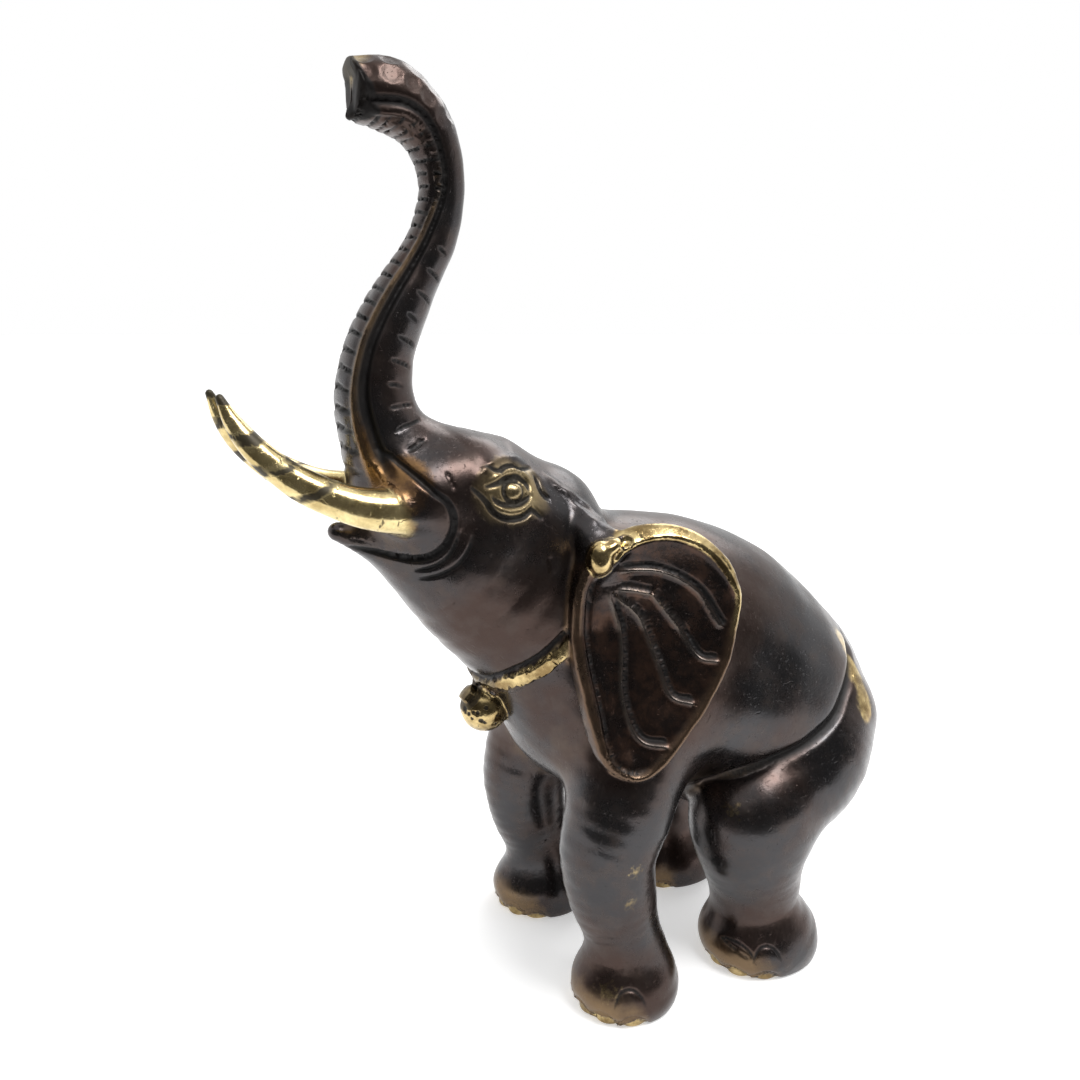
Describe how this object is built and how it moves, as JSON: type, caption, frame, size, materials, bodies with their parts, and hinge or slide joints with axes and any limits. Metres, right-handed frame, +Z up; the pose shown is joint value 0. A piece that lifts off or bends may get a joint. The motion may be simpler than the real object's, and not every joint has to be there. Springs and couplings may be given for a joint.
{
  "type": "elephant figurine",
  "caption": "Cast bronze elephant figurine, half seated, its head thrown up and trunk raised in an S above curved tusks, with spread ears, a collar and a bell.",
  "frame": {"origin": "on the ground under the middle of the figure's length, on its mirror plane", "axes": "+Z up from the soles to the raised trunk; the head and tusks face -Y and the tail +Y; the animal's left side is +X"},
  "size_m": [0.0688, 0.1576, 0.1905],
  "materials": {
    "bronze": "dark brown patina with a soft gloss, rubbed to bare brass on the tusks, collar, bell, ear rims, eyes, toenails and tail"
  },
  "bodies": {
    "root": {"elephant": "bronze"}
  },
  "joints": []
}
